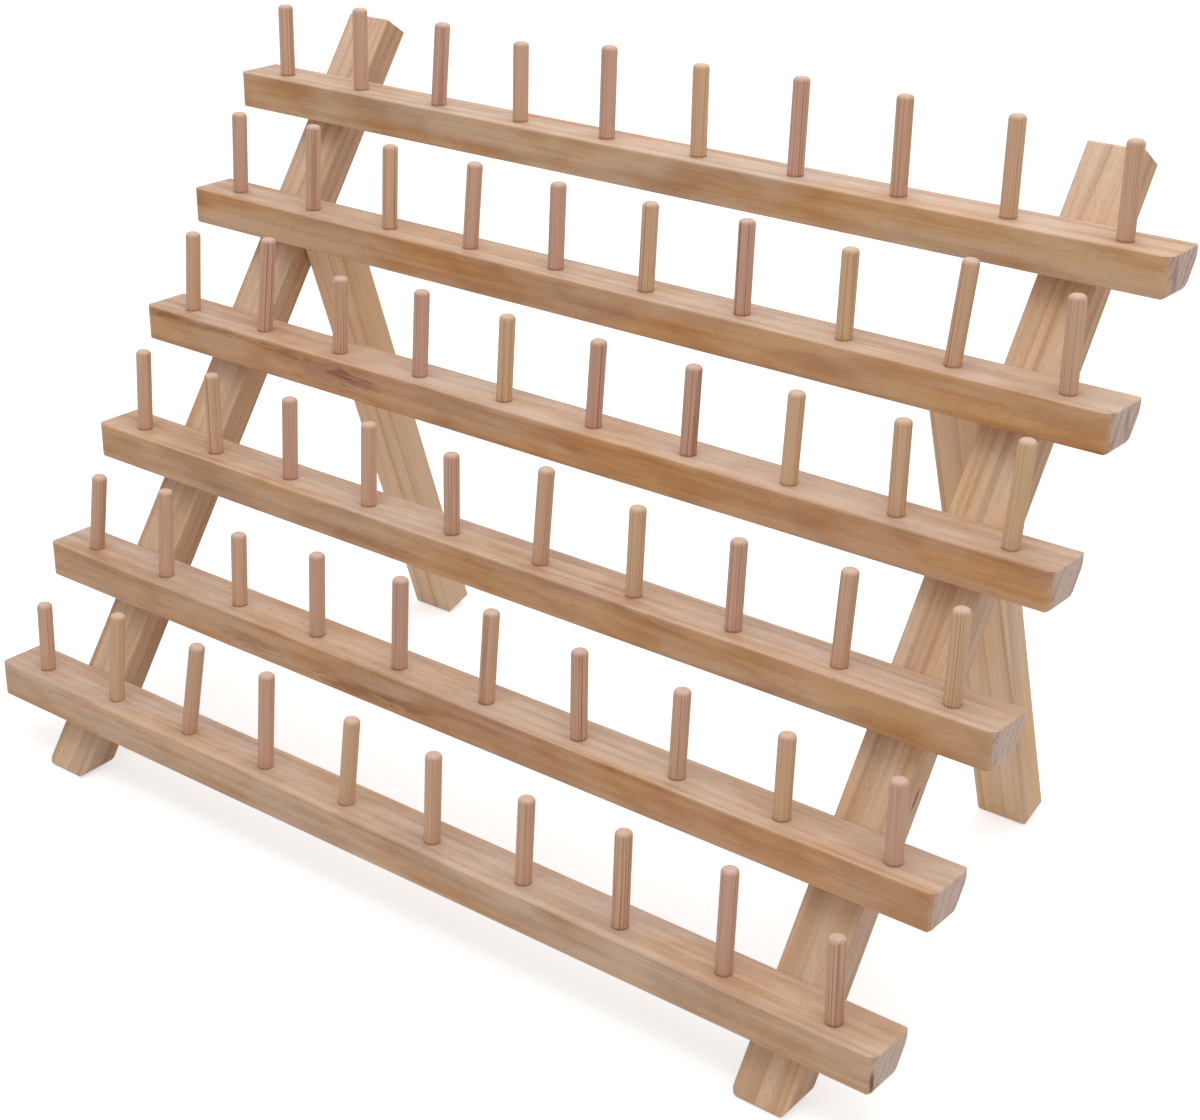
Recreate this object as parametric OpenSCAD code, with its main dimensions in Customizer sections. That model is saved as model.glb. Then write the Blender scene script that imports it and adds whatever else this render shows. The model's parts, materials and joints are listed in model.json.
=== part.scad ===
// Folding thread rack: pegged rails on two leaning uprights, with two rear legs that swing out.
// X runs along the rails, Y from front to back and Z up. The origin is on the table,
// in the middle of the rectangle that the rack covers.

/* [Rails] */
// Rails on the rack
row_count = 6; // [3:1:8]
// Depth of a rail's top face, from front to back
rail_depth = 20.5; // [18:0.5:28]
// Height of a rail
rail_height = 13.5; // [11:0.5:18]
// Bevel of a rail's back, away from square
rail_bevel = 34.5; // [25:0.5:40]
// Distance from the last peg's centre to the end of its rail
rail_end = 19; // [12:0.5:30]
// Radius of a rail's eased long edges
rail_ease = 0.6; // [0.4:0.1:2]
// Radius of the rounded corners at a rail's ends
rail_corner = 3; // [0.6:0.1:4]

/* [Pegs] */
// Pegs on each rail
pegs_per_rail = 10; // [4:1:14]
// Distance between neighbouring pegs
peg_pitch = 40; // [34:1:60]
// Diameter of a peg
peg_d = 5.7; // [5:0.1:8]
// Length of a peg above its rail
peg_reach = 31; // [20:0.5:38]
// Distance from a rail's front face to the centre of its pegs
peg_set = 8; // [6:0.5:10]
// How far the pegs lean back from square to their rail's top
peg_rake = 3.5; // [0:0.5:6]
// Radius of the rounded rim at a peg's tip
peg_round = 1.6; // [0.5:0.1:2.4]
// How much thinner a peg is below its shoulder
spigot_step = 0.5; // [0.4:0.05:0.8]
// Gap left under a peg's shoulder where it comes nearest its rail
shoulder_gap = 0.12; // [0.05:0.01:0.3]
// Depth of a peg's socket
socket_depth = 8.5; // [5:0.5:9.5]
// Glue gap around a peg in its socket
glue_gap = 0.05; // [0.02:0.01:0.1]

/* [Uprights] */
// How far an upright runs on above the back edge of the top rail
upright_past = 26; // [15:0.5:60]
// Width of an upright, along the rails
upright_width = 20.5; // [16:0.5:30]
// Thickness of an upright
upright_thick = 11.5; // [10:0.5:18]
// How far the uprights lean back
upright_lean = 37; // [30:0.5:42]
// Distance from a rail's end to the outer side of its upright
upright_inset = 27.5; // [22:0.5:34]
// From an upright's toe up to the back edge of the lowest rail's top
toe_length = 41.5; // [30:0.5:60]
// Distance between rails, along the uprights
row_pitch = 50; // [44:0.5:60]
// Radius of the eased edges of uprights and legs
bar_ease = 0.7; // [0.4:0.1:1.6]
// Radius of the rounded corners at an upright's foot
foot_corner = 4; // [0.6:0.1:5]

/* [Rear legs] */
// Width of a rear leg, along the rails
leg_width = 20; // [14:0.5:26]
// Thickness of a rear leg
leg_thick = 12.5; // [10:0.5:14]
// Angle between a leg and its upright when the leg is swung out
leg_open = 53; // [46:0.5:62]
// Radius of the rounded corners at a leg's foot
sole_corner = 2; // [0.6:0.1:4]
// Height of the pivot above the lower back edge of the second rail
pivot_rise = 2.2; // [1.5:0.1:3.5]
// Gap between a folded leg and the backs of the rails
fold_gap = 0.4; // [0.3:0.1:1]
// Gap between an open leg's head and the back of the second rail
stop_gap = 0.3; // [0.2:0.1:0.5]

/* [Pivots] */
// Diameter of a pivot bolt
bolt_d = 4; // [3:0.5:5]
// Diameter of a pivot bolt's head
bolt_head_d = 8; // [6:0.5:10]
// Height of a pivot bolt's head
bolt_head_h = 2.6; // [1.8:0.1:3.5]
// Radius of the rounded rim of a pivot bolt's head
bolt_head_round = 1.5; // [0.5:0.1:1.7]
// Bolt left showing beyond its nut
bolt_tail = 3.4; // [1:0.2:6]
// Diameter of a washer
washer_d = 9; // [8:0.5:10]
// Thickness of a washer
washer_thick = 0.8; // [0.5:0.1:1.5]
// Width of a nut across its flats
nut_flats = 7; // [6.6:0.1:8]
// Height of a nut's hexagon
nut_height = 3.4; // [2.5:0.1:5]
// Diameter of the round collar that holds a nut's locking ring
collar_d = 6; // [5.4:0.1:6.4]
// Height of that collar
collar_height = 1.6; // [1:0.1:2.5]
// Running gap around the bolt in a leg
pivot_play = 0.06; // [0.02:0.01:0.1]
// Gap around the bolt in its upright, its washers and its nut
bolt_gap = 0.05; // [0.02:0.01:0.1]

/* [Rail screws] */
// Diameter of a rail screw
screw_d = 3; // [2.5:0.1:3.5]
// Diameter of a rail screw's head
screw_head_d = 6; // [5.6:0.1:7]
// Length of a rail screw inside its rail
screw_bite = 7; // [5:0.5:8]
// Length of a rail screw's point
screw_point = 2.5; // [1.5:0.5:4]
// Gap around a rail screw
screw_gap = 0.05; // [0.02:0.01:0.1]
// Length of the cross recess in the head of a screw or bolt
recess_length = 3.4; // [2.6:0.1:4]
// Width of the cross recess
recess_width = 0.8; // [0.6:0.1:1.2]
// Depth of the cross recess
recess_depth = 0.9; // [0.6:0.1:1.1]

/* [Hidden] */
$fn = 48;
stop_row_number = 2;
ease_steps = 4;
tip_steps = 5;
over = 1;

// Rails: each is drawn from the back edge of its top face
rail_length = (pegs_per_rail - 1) * peg_pitch + 2 * rail_end;
rail_tilt = upright_lean - rail_bevel;
bevel_run = rail_height * tan(rail_bevel);
bevel_length = rail_height / cos(rail_bevel);
peg_line = peg_set - rail_depth;
peg_shoulder = peg_d / 2 * tan(peg_rake) + shoulder_gap;
function row_up(row) = toe_length + (row_count - row) * row_pitch;
function peg_x(k) = (k - (pegs_per_rail - 1) / 2) * peg_pitch;

// Uprights: length of the front face, outer and inner side faces
upright_length = row_up(1) + upright_past;
upright_out = rail_length / 2 - upright_inset;
upright_in = upright_out - upright_width;
upright_mid = (upright_out + upright_in) / 2;

// Legs: the pivot lies behind the second rail, deep enough for a folded leg to clear the rails
pivot_up = row_up(stop_row_number) - bevel_length + pivot_rise;
pivot_back = leg_thick / 2 + fold_gap;
pivot_y = pivot_up * sin(upright_lean) + pivot_back * cos(upright_lean);
pivot_z = pivot_up * cos(upright_lean) - pivot_back * sin(upright_lean);
leg_lean = leg_open - upright_lean;
leg_out = upright_in - washer_thick;
leg_in = leg_out - leg_width;
leg_half = leg_thick / 2;
// The square sole stands on its eased front edge
leg_sole = (bar_ease - pivot_z + (leg_half - bar_ease) * sin(leg_lean)) / cos(leg_lean) - bar_ease;
function leg_head(y) = (pivot_back - stop_gap + y * cos(leg_open)) / sin(leg_open);

// The middle of the floor rectangle, from the uprights' toes to whatever reaches furthest back
leg_heel = pivot_y - leg_sole * sin(leg_lean) + leg_half * cos(leg_lean);
upright_top = upright_length * sin(upright_lean) + upright_thick * cos(upright_lean);
floor_mid = max(leg_heel, upright_top) / 2;

// Outline helpers

// The arc that rounds corner p, between the neighbouring corners a and b
function corner(p, a, b, r) =
    let (
        u = (a - p) / norm(a - p),
        v = (b - p) / norm(b - p),
        half = acos(u * v) / 2,
        c = p + (u + v) / norm(u + v) * r / sin(half),
        from = p + u * r / tan(half) - c,
        to = p + v * r / tan(half) - c,
        start = atan2(from[1], from[0]),
        sweep = (atan2(to[1], to[0]) - start + 540) % 360 - 180
    )
    [for (k = [0:ease_steps])
        let (turn = start + sweep * k / ease_steps)
        c + r * [cos(turn), sin(turn)]];

// An outline whose corners are rounded, each by its own radius
function eased(pts, radii) =
    let (n = len(pts))
    [for (i = [0:n - 1]) each corner(pts[i], pts[(i + n - 1) % n], pts[(i + 1) % n], radii[i])];

function rectangle(low, high) = [low, [high[0], low[1]], high, [low[0], high[1]]];

// A side outline in Y and Z, drawn out along X
module side_slab(x_low, x_high, outline)
    translate([x_low, 0, 0])
        rotate([90, 0, 90])
            linear_extrude(x_high - x_low)
                polygon(outline);

// A front outline in X and Z, drawn out along Y
module front_slab(y_low, y_high, outline)
    translate([0, y_high, 0])
        rotate([90, 0, 0])
            linear_extrude(y_high - y_low)
                polygon(outline);

// A plan outline in X and Y, drawn out along Z
module plan_slab(z_low, z_high, outline)
    translate([0, 0, z_low])
        linear_extrude(z_high - z_low)
            polygon(outline);

// Places

// The table frame: the uprights' toes lie in front of the origin
module on_table() translate([0, -floor_mid, 0]) children();

// Along an upright: Z climbs its front face, Y goes into its thickness
module on_upright() on_table() rotate([-upright_lean, 0, 0]) children();

// On a rail: the back edge of the top face is the line Y = Z = 0
module on_rail(row) on_upright() translate([0, 0, row_up(row)]) rotate([rail_bevel, 0, 0]) children();

// At a peg: Z runs up the peg, from the middle of its foot on the rail's top
module on_peg(row, k) on_rail(row) translate([peg_x(k), peg_line, 0]) rotate([-peg_rake, 0, 0]) children();

// On a leg: its pivot is the line Y = Z = 0, and Z runs up the leg
module on_leg() on_table() translate([0, pivot_y, pivot_z]) rotate([leg_lean, 0, 0]) children();

// Along a pivot: Z is the bolt's axis, measured from the middle of the rack outwards
module on_pivot()
    on_upright() translate([0, pivot_back, pivot_up]) rotate([0, 90, 0]) children();

// At a rail screw: Z goes forward through the upright into the rail, from the upright's back
module on_screw(row)
    on_upright()
        translate([upright_mid, upright_thick, row_up(row) - bevel_length / 2])
            rotate([90, 0, 0])
                children();

module both_sides(left) if (left) mirror([1, 0, 0]) children(); else children();

// Rails and pegs

module rail_blank() {
    half = rail_length / 2;
    r = rail_ease;
    c = rail_corner;
    section = [[0, 0], [-rail_depth, 0], [-rail_depth, -rail_height], [-bevel_run, -rail_height]];
    intersection() {
        side_slab(-half, half, eased(section, [r, r, r, r]));
        front_slab(-rail_depth - over, over,
            eased(rectangle([-half, -rail_height], [half, 0]), [c, c, r, r]));
        plan_slab(-rail_height - over, over,
            eased(rectangle([-half, -rail_depth], [half, 0]), [c, c, c, c]));
    }
}

module rail(row) color([0.80, 0.63, 0.46]) difference() {
    on_rail(row) rail_blank();
    for (k = [0:pegs_per_rail - 1])
        on_peg(row, k)
            translate([0, 0, -socket_depth])
                cylinder(d = peg_d - spigot_step + 2 * glue_gap, h = socket_depth + over);
    for (left = [false, true])
        both_sides(left)
            on_screw(row) screw_room();
}

// A turned dowel with a rounded tip. Below its shoulder, which clears the rail's top,
// a slightly thinner spigot is glued into the rail.
module peg() {
    r = peg_d / 2;
    flat = r - peg_round;
    inner = r - spigot_step / 2;
    spigot = [[0, -socket_depth], [inner, -socket_depth], [inner, peg_shoulder], [r, peg_shoulder]];
    rim = [for (k = [0:tip_steps])
        let (turn = 90 * k / tip_steps)
        [flat + peg_round * cos(turn), peg_reach - peg_round + peg_round * sin(turn)]];
    rotate_extrude()
        polygon(concat(spigot, rim, [[0, peg_reach]]));
}

module peg_row(row) color([0.78, 0.58, 0.44])
    for (k = [0:pegs_per_rail - 1])
        on_peg(row, k) peg();

// Uprights and legs

module upright(left) color([0.79, 0.61, 0.46]) both_sides(left) difference() {
    upright_blank();
    on_pivot()
        translate([0, 0, upright_in - over])
            cylinder(d = bolt_d + 2 * bolt_gap, h = upright_width + 2 * over);
    for (row = [1:row_count]) on_screw(row) screw_room();
}

module upright_blank() {
    r = bar_ease;
    c = foot_corner;
    toe_run = upright_thick * tan(upright_lean);
    side = [[0, 0], [upright_thick, toe_run], [upright_thick, upright_length], [0, upright_length]];
    reach = upright_length + upright_thick;
    intersection() {
        on_upright() side_slab(upright_in, upright_out, eased(side, [r, r, r, r]));
        on_upright()
            plan_slab(-over, upright_length + over,
                eased(rectangle([upright_in, 0], [upright_out, upright_thick]), [r, r, r, r]));
        on_upright()
            front_slab(-over, upright_thick + over,
                eased(rectangle([upright_in, -reach], [upright_out, upright_length]), [r, r, r, r]));
        on_table()
            front_slab(-over, reach,
                eased(rectangle([upright_in, 0], [upright_out, reach]), [c, c, c, c]));
    }
}

module rear_leg(left) color([0.84, 0.68, 0.48]) both_sides(left) difference() {
    leg_blank();
    on_pivot()
        translate([0, 0, leg_in - over])
            cylinder(d = bolt_d + 2 * pivot_play, h = leg_width + 2 * over);
}

// A leg's mitred head lies flat against the back of the second rail and stops the leg there.
// Its nose is rounded, so that the head can turn past the same rail as the leg folds.
module leg_blank() {
    r = bar_ease;
    c = sole_corner;
    half = leg_half;
    top = leg_head(half);
    side = [[-half, leg_sole], [half, leg_sole], [half, top], [-half, leg_head(-half)]];
    on_leg() intersection() {
        side_slab(leg_in, leg_out, eased(side, [r, r, r, half]));
        plan_slab(leg_sole - over, top + over,
            eased(rectangle([leg_in, -half], [leg_out, half]), [r, r, r, r]));
        front_slab(-half - over, half + over,
            eased(rectangle([leg_in, leg_sole], [leg_out, top]), [c, c, r, r]));
    }
}

// Pivot hardware: a bolt from outside, with a washer under its head, one between
// upright and leg, and one under the locking nut

head_seat = upright_out + washer_thick;
nut_seat = leg_in - washer_thick;
nut_end = nut_seat - nut_height - collar_height;

// Two crossed slots, sunk into a head whose top is at Z = 0
module cross_recess()
    for (turn = [0, 90])
        rotate(turn)
            translate([-recess_length / 2, -recess_width / 2, -recess_depth])
                cube([recess_length, recess_width, recess_depth + over]);

module pivot_bolt(left) color([0.72, 0.72, 0.74]) both_sides(left) on_pivot() {
    difference() {
        union() {
            translate([0, 0, nut_end - bolt_tail])
                cylinder(d = bolt_d, h = head_seat - nut_end + bolt_tail);
            translate([0, 0, head_seat]) pan_head();
        }
        translate([0, 0, head_seat + bolt_head_h]) cross_recess();
    }
}

// A round head with straight sides below a rounded rim
module pan_head() {
    r = bolt_head_d / 2;
    round = bolt_head_round;
    rim = [for (k = [0:tip_steps])
        let (turn = 90 * k / tip_steps)
        [r - round + round * cos(turn), bolt_head_h - round + round * sin(turn)]];
    rotate_extrude()
        polygon(concat([[0, 0], [r, 0]], rim, [[0, bolt_head_h]]));
}

module pivot_washers(left) color([0.74, 0.74, 0.76]) both_sides(left) on_pivot()
    for (low = [upright_out, leg_out, nut_seat])
        translate([0, 0, low])
            difference() {
                cylinder(d = washer_d, h = washer_thick);
                translate([0, 0, -over])
                    cylinder(d = bolt_d + 2 * bolt_gap, h = washer_thick + 2 * over);
            }

module pivot_nut(left) color([0.70, 0.70, 0.72]) both_sides(left) on_pivot()
    difference() {
        union() {
            translate([0, 0, nut_seat - nut_height])
                cylinder(d = nut_flats / cos(30), h = nut_height, $fn = 6);
            translate([0, 0, nut_end])
                cylinder(d = collar_d, h = collar_height + nut_height / 2);
        }
        translate([0, 0, nut_end - over])
            cylinder(d = bolt_d + 2 * bolt_gap, h = nut_height + collar_height + 2 * over);
    }

// Rail screws, driven from the backs of the uprights

sink = (screw_head_d - screw_d) / 2;

// The outline of a countersunk screw, grown by a gap all round but not past its head
function screw_outline(gap) =
    let (r = screw_d / 2 + gap, tip = upright_thick + screw_bite + gap)
    [[0, 0], [screw_head_d / 2 + gap, 0], [r, sink], [r, tip - screw_point], [0, tip]];

module screw_room() {
    rotate_extrude() polygon(screw_outline(screw_gap));
    translate([0, 0, -over]) cylinder(d = screw_head_d + 2 * screw_gap, h = over);
}

module rail_screws(left) color([0.76, 0.72, 0.58]) both_sides(left)
    for (row = [1:row_count])
        on_screw(row)
            difference() {
                rotate_extrude() polygon(screw_outline(0));
                mirror([0, 0, 1]) cross_recess();
            }

// The whole rack, piece by piece

upright(true);  // left_upright
upright(false);  // right_upright
for (row = [1:row_count]) {
    rail(row);
    peg_row(row);
}
rear_leg(true);  // left_rear_leg
rear_leg(false);  // right_rear_leg
pivot_bolt(true);  // left_pivot_bolt
pivot_bolt(false);  // right_pivot_bolt
pivot_washers(true);  // left_pivot_washers
pivot_washers(false);  // right_pivot_washers
pivot_nut(true);  // left_pivot_nut
pivot_nut(false);  // right_pivot_nut
rail_screws(true);  // left_rail_screws
rail_screws(false);  // right_rail_screws
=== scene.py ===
import json
import math

import bmesh
import bpy
from bpy.props import (
    FloatProperty,
    FloatVectorProperty,
    IntProperty,
    PointerProperty,
)
from mathutils import Euler, Matrix, Vector


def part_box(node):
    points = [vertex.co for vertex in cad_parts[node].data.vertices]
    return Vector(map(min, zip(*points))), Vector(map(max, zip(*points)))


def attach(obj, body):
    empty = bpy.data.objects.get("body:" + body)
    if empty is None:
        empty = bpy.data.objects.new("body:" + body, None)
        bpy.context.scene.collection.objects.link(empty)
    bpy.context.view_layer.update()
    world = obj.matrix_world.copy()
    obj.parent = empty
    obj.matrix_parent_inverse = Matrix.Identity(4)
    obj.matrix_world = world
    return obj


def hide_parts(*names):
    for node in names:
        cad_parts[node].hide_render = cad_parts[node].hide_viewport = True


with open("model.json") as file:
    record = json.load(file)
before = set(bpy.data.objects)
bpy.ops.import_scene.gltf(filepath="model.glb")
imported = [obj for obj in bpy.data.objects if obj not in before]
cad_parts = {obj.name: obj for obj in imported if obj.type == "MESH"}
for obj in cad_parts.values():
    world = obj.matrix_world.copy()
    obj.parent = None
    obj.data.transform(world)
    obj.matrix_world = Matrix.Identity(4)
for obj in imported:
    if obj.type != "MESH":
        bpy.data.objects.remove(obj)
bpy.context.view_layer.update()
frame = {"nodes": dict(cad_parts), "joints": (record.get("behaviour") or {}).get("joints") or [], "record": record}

bl_info = {
    "name": "Thread rack",
    "version": (1, 0, 0),
    "blender": (4, 5, 0),
    "location": "3D View > Sidebar > Thread rack",
    "description": "Dresses a folding pine thread rack and sets its studio",
    "category": "Object",
}

MM = 0.001
NODES = frame["nodes"]
ROWS = range(1, 1 + sum(name.startswith("peg_row_") for name in NODES))
SIDES = {"left": -1, "right": 1}
MOUNTS = {mount["name"]: mount for mount in frame["record"]["mounts"]}
HINGES = {joint["child"]: joint for joint in frame["joints"]}
X_AXIS = Vector((1, 0, 0))

# How far the pegs of each row lean to the right, in degrees
ROW_LEAN = {1: -1.5, 2: -0.5, 3: 1, 4: -1, 5: -0.5, 6: 0.5}
# Pegs that stand out from their row, by row and place: degrees leant to the right and millimetres proud
STRAYS = {
    (1, 1): (-3.5, -4), (1, 3): (2, -0.5), (1, 4): (-1.5, -2.5), (1, 5): (-1.5, 1), (1, 7): (-1, 2),
    (1, 8): (-1.5, 1.5), (1, 9): (-1.5, 1.5),
    (2, 2): (0, 1.5), (2, 4): (2.5, 0), (2, 7): (-0.5, 1), (2, 8): (-0.5, -1), (2, 9): (5, 3.5),
    (2, 10): (-2, 0),
    (3, 2): (3, 5), (3, 3): (0.5, -2), (3, 4): (1, 1), (3, 9): (-1.5, 0), (3, 10): (2.5, 4),
    (4, 2): (-3, 0), (4, 5): (-2.5, -1.5), (4, 6): (2.5, 3.5), (4, 9): (2, 1.5),
    (5, 1): (6, 0), (5, 2): (0.5, 3), (5, 3): (0, -3), (5, 5): (0, 2.5), (5, 6): (1.5, 2.5),
    (5, 7): (-2.5, 0), (5, 9): (-0.5, -2), (5, 10): (-1.5, -3),
    (6, 1): (-1.5, -4), (6, 2): (3, 4.5), (6, 3): (9, 5.5), (6, 4): (1.5, 5.5), (6, 5): (4, 2.5),
    (6, 6): (0, 1.5), (6, 8): (-1, 3), (6, 9): (-0.5, 5.5), (6, 10): (-3, -2.5),
}

# How each board was sawn, in millimetres: where the pith lay from its middle, how far the log ran askew for
# each millimetre along it, the width of its rings, the place that it takes in the noise, and how strongly the
# rings show on its ends
RAIL_CUTS = {
    1: dict(pith=(0, 66, -46), slope=(0, 0.012, 0.01), ring_width=3.4, shift=40, end_contrast=1.0),
    2: dict(pith=(0, 80, -50), slope=(0, -0.012, 0.006), ring_width=4.2, shift=310, end_contrast=0.9),
    3: dict(pith=(0, -76, 44), slope=(0, 0.02, -0.012), ring_width=4.8, shift=640, end_contrast=0.5),
    4: dict(pith=(0, 60, -22), slope=(0, 0.014, 0.004), ring_width=3.2, shift=930, end_contrast=0.6),
    5: dict(pith=(0, 75, -44), slope=(0, -0.018, 0.012), ring_width=4.0, shift=1270, end_contrast=0.6),
    6: dict(pith=(0, -62, 40), slope=(0, 0.02, 0.008), ring_width=3.4, shift=1610, end_contrast=0.65),
}
UPRIGHT_CUTS = {
    "left": dict(pith=(0, 30, 46), slope=(0, 0.004, 0.02), ring_width=3.6, shift=2100, end_contrast=0.5),
    "right": dict(pith=(0, -36, 44), slope=(0, 0.006, -0.016), ring_width=3.2, shift=2600, end_contrast=0.5),
}
LEG_CUTS = {
    "left": dict(pith=(0, 90, 30), slope=(0, 0.004, 0.004), ring_width=7, shift=3100, end_contrast=0.5),
    "right": dict(pith=(0, -95, 26), slope=(0, -0.006, 0.004), ring_width=8, shift=3700, end_contrast=0.5),
}
# How far the rings wander, in millimetres, how sharp they are, and how strong each part of the figure is
RAIL_FIGURE = dict(
    wander=12, edge=3, contrast=0.3, bands=0.2, streaks=0.19, blotches=0.46, warmth=0.13, flecks=0.26)
UPRIGHT_FIGURE = dict(
    wander=9, edge=4, contrast=0.36, bands=0.28, streaks=0.24, blotches=0.1, warmth=0.13, flecks=0.36)
LEG_FIGURE = dict(
    wander=3, edge=6, contrast=0.85, bands=0.08, streaks=0.12, blotches=0.06, warmth=0.14, flecks=0.12)
# Tints of the rails' flat-sawn fronts
RAIL_FRONTS = {1: "#FFF4DD", 2: "#FFECCE", 3: "#FCE6C8", 4: "#FFF0D9", 5: "#FFEDD7", 6: "#FFF5E7"}
# Stains and cracks, each by its middle and half its size in the board's millimetres, its tint, its strength
# and how ragged it is
RAIL_STAINS = {
    1: [((199, -6, 0), (2, 2.4, 9), "#83594A", 0.6, 0.4)],
    2: [((199, 0, 0), (2, 2.2, 9), "#83594A", 0.5, 0.4)],
    3: [
        ((-100, -10, 0.5), (27, 7, 6.5), "#A0705A", 0.55, 0.9),
        ((-92, -10, 2), (10, 7, 3), "#7C4A3A", 0.65, 1.4),
        ((-82, -10, 1), (13, 7, 2.6), "#8A5844", 0.55, 1.4),
        ((-120, -10, 3.5), (18, 7, 2), "#80522F", 0.5, 1.4),
        ((-160, -10, 4.6), (38, 7, 1.5), "#8A5A35", 0.5, 1.2),
        ((-187, -10, 4.8), (14, 7, 1.6), "#7E5032", 0.55, 1.0),
    ],
    5: [
        ((-34, -10, -3.5), (22, 7, 3.6), "#855529", 0.55, 1.0),
        ((-8, -10, -2), (16, 7, 3), "#855529", 0.5, 1.0),
        ((-87, -10, -1), (22, 7, 3.6), "#8C5E33", 0.5, 1.0),
    ],
    6: [((198.1, -9, -2.5), (1, 1, 6), "#543428", 0.85, 0.15)],
}
UPRIGHT_STAINS = {"right": [((-57, 10.2, 3.1), (5.5, 4, 0.9), "#2E1A0E", 0.95, 0.2)]}


def linear(code):
    """Turns an sRGB hex colour into the linear values that the nodes work in."""
    parts = [int(code[k : k + 2], 16) / 255 for k in (1, 3, 5)]
    return [c / 12.92 if c <= 0.04045 else ((c + 0.055) / 1.055) ** 2.4 for c in parts]


def add(tree, kind, inputs=None, stops=None, **settings):
    """Adds a node, sets its options, and fills or links its inputs."""
    node = tree.nodes.new(kind)
    for name, value in settings.items():
        setattr(node, name, value)
    for key, value in (inputs or {}).items():
        if isinstance(value, bpy.types.NodeSocket):
            tree.links.new(value, node.inputs[key])
        else:
            node.inputs[key].default_value = value
    for k, (place, value) in enumerate(stops or []):
        ramp = node.color_ramp.elements
        stop = ramp[k] if k < 2 else ramp.new(place)
        stop.position = place
        stop.color = (value, value, value, 1)
    return node


def broad_face(node, way):
    """The middle and the outward direction of a node's largest flat face that looks about one way."""
    # Cosine of the most that it may look aside, about 53 degrees
    least = 0.6
    groups = {}
    for face in NODES[node].data.polygons:
        if face.normal.dot(Vector(way)) > least:
            groups.setdefault(tuple(round(c, 3) for c in face.normal), []).append(face)
    faces = max(groups.values(), key=lambda group: sum(face.area for face in group))
    area = sum(face.area for face in faces)
    return sum((face.center * face.area for face in faces), Vector()) / area, faces[0].normal.copy()


def peg_seat(row, side):
    """Where an end peg's axis meets its rail's top, the way it points, and its height to its tip's rim."""
    mount = MOUNTS[f"row_{row}_{side}_peg"]
    axis, middle = Vector(mount["axis"]), Vector(mount["pos_m"])
    top, up = broad_face(f"rail_{row}", (0, 0, 1))
    foot = middle - axis * (middle - top).dot(up) / axis.dot(up)
    return foot, axis, (middle - foot).length + mount["dims"]["length_mm"] / 2 * MM


def on_pivot(side, reach):
    """Moves a shape made about Z onto a side's pivot, with Z outwards and its foot at this reach on X."""
    _, y, z = HINGES[f"{side}_leg"]["pos_m"]
    return Matrix.Translation((reach, y, z)) @ Matrix.Rotation(SIDES[side] * math.pi / 2, 4, "Y")


def face_x(node, way):
    """How far along X a node's outermost face lies, to the right or, with a negative way, to the left."""
    low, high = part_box(node)
    return high.x if way > 0 else low.x


class ThreadRackPegs(bpy.types.PropertyGroup):
    """Sizes of the pegs, and how far each one strays."""

    count: IntProperty(name="Pegs in a row", description="Pegs on each rail", default=10, min=2)
    diameter: FloatProperty(
        name="Diameter", description="Thickness of a peg", unit="LENGTH",
        default=2 * MOUNTS["row_1_left_peg"]["dims"]["r_mm"] * MM)
    rim: FloatProperty(
        name="Tip rounding", description="Radius of the rounded rim of a tip", unit="LENGTH",
        default=1.6 * MM)
    seat: FloatProperty(
        name="Seat", description="Depth of a peg's glued end in its rail", unit="LENGTH",
        default=8 * MM)
    lean: FloatProperty(
        name="Lean", description="Most that a peg leans out of line", unit="ROTATION",
        default=math.radians(0.6))
    rise: FloatProperty(
        name="Rise", description="Most that a peg stands proud or low", unit="LENGTH",
        default=0.4 * MM)
    seed: IntProperty(name="Seed", description="Picks the scatter of the pegs", default=4)


class ThreadRackPivots(bpy.types.PropertyGroup):
    """Sizes of the bolts, washers and nuts that the legs swing on."""

    bolt: FloatProperty(
        name="Bolt", description="Diameter of a bolt", unit="LENGTH", default=4 * MM)
    pitch: FloatProperty(
        name="Thread pitch", description="Rise of a bolt's thread in one turn", unit="LENGTH",
        default=0.7 * MM)
    threaded: FloatProperty(
        name="Thread length", description="Length of a bolt's thread", unit="LENGTH", default=14 * MM)
    head: FloatProperty(
        name="Head", description="Diameter of a bolt's head", unit="LENGTH", default=8 * MM)
    head_height: FloatProperty(
        name="Head height", description="Height of a bolt's head", unit="LENGTH", default=2.6 * MM)
    head_rim: FloatProperty(
        name="Head rounding", description="Radius of the rim of a bolt's head", unit="LENGTH",
        default=1.5 * MM)
    recess: FloatProperty(
        name="Recess", description="Length of the cross in a bolt's head", unit="LENGTH", default=3.4 * MM)
    washer: FloatProperty(
        name="Washer", description="Diameter of a washer", unit="LENGTH", default=9 * MM)
    washer_thick: FloatProperty(
        name="Washer thickness", description="Thickness of a washer", unit="LENGTH", default=0.8 * MM)
    flats: FloatProperty(
        name="Nut", description="Width of a nut across its flats", unit="LENGTH", default=7 * MM)
    collar: FloatProperty(
        name="Collar", description="Diameter of a nut's locking collar", unit="LENGTH", default=6 * MM)
    collar_height: FloatProperty(
        name="Collar height", description="Height of a nut's locking collar", unit="LENGTH",
        default=1.6 * MM)
    gap: FloatProperty(
        name="Gap", description="Gap round a bolt in its washers and nut", unit="LENGTH", default=0.05 * MM)


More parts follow.
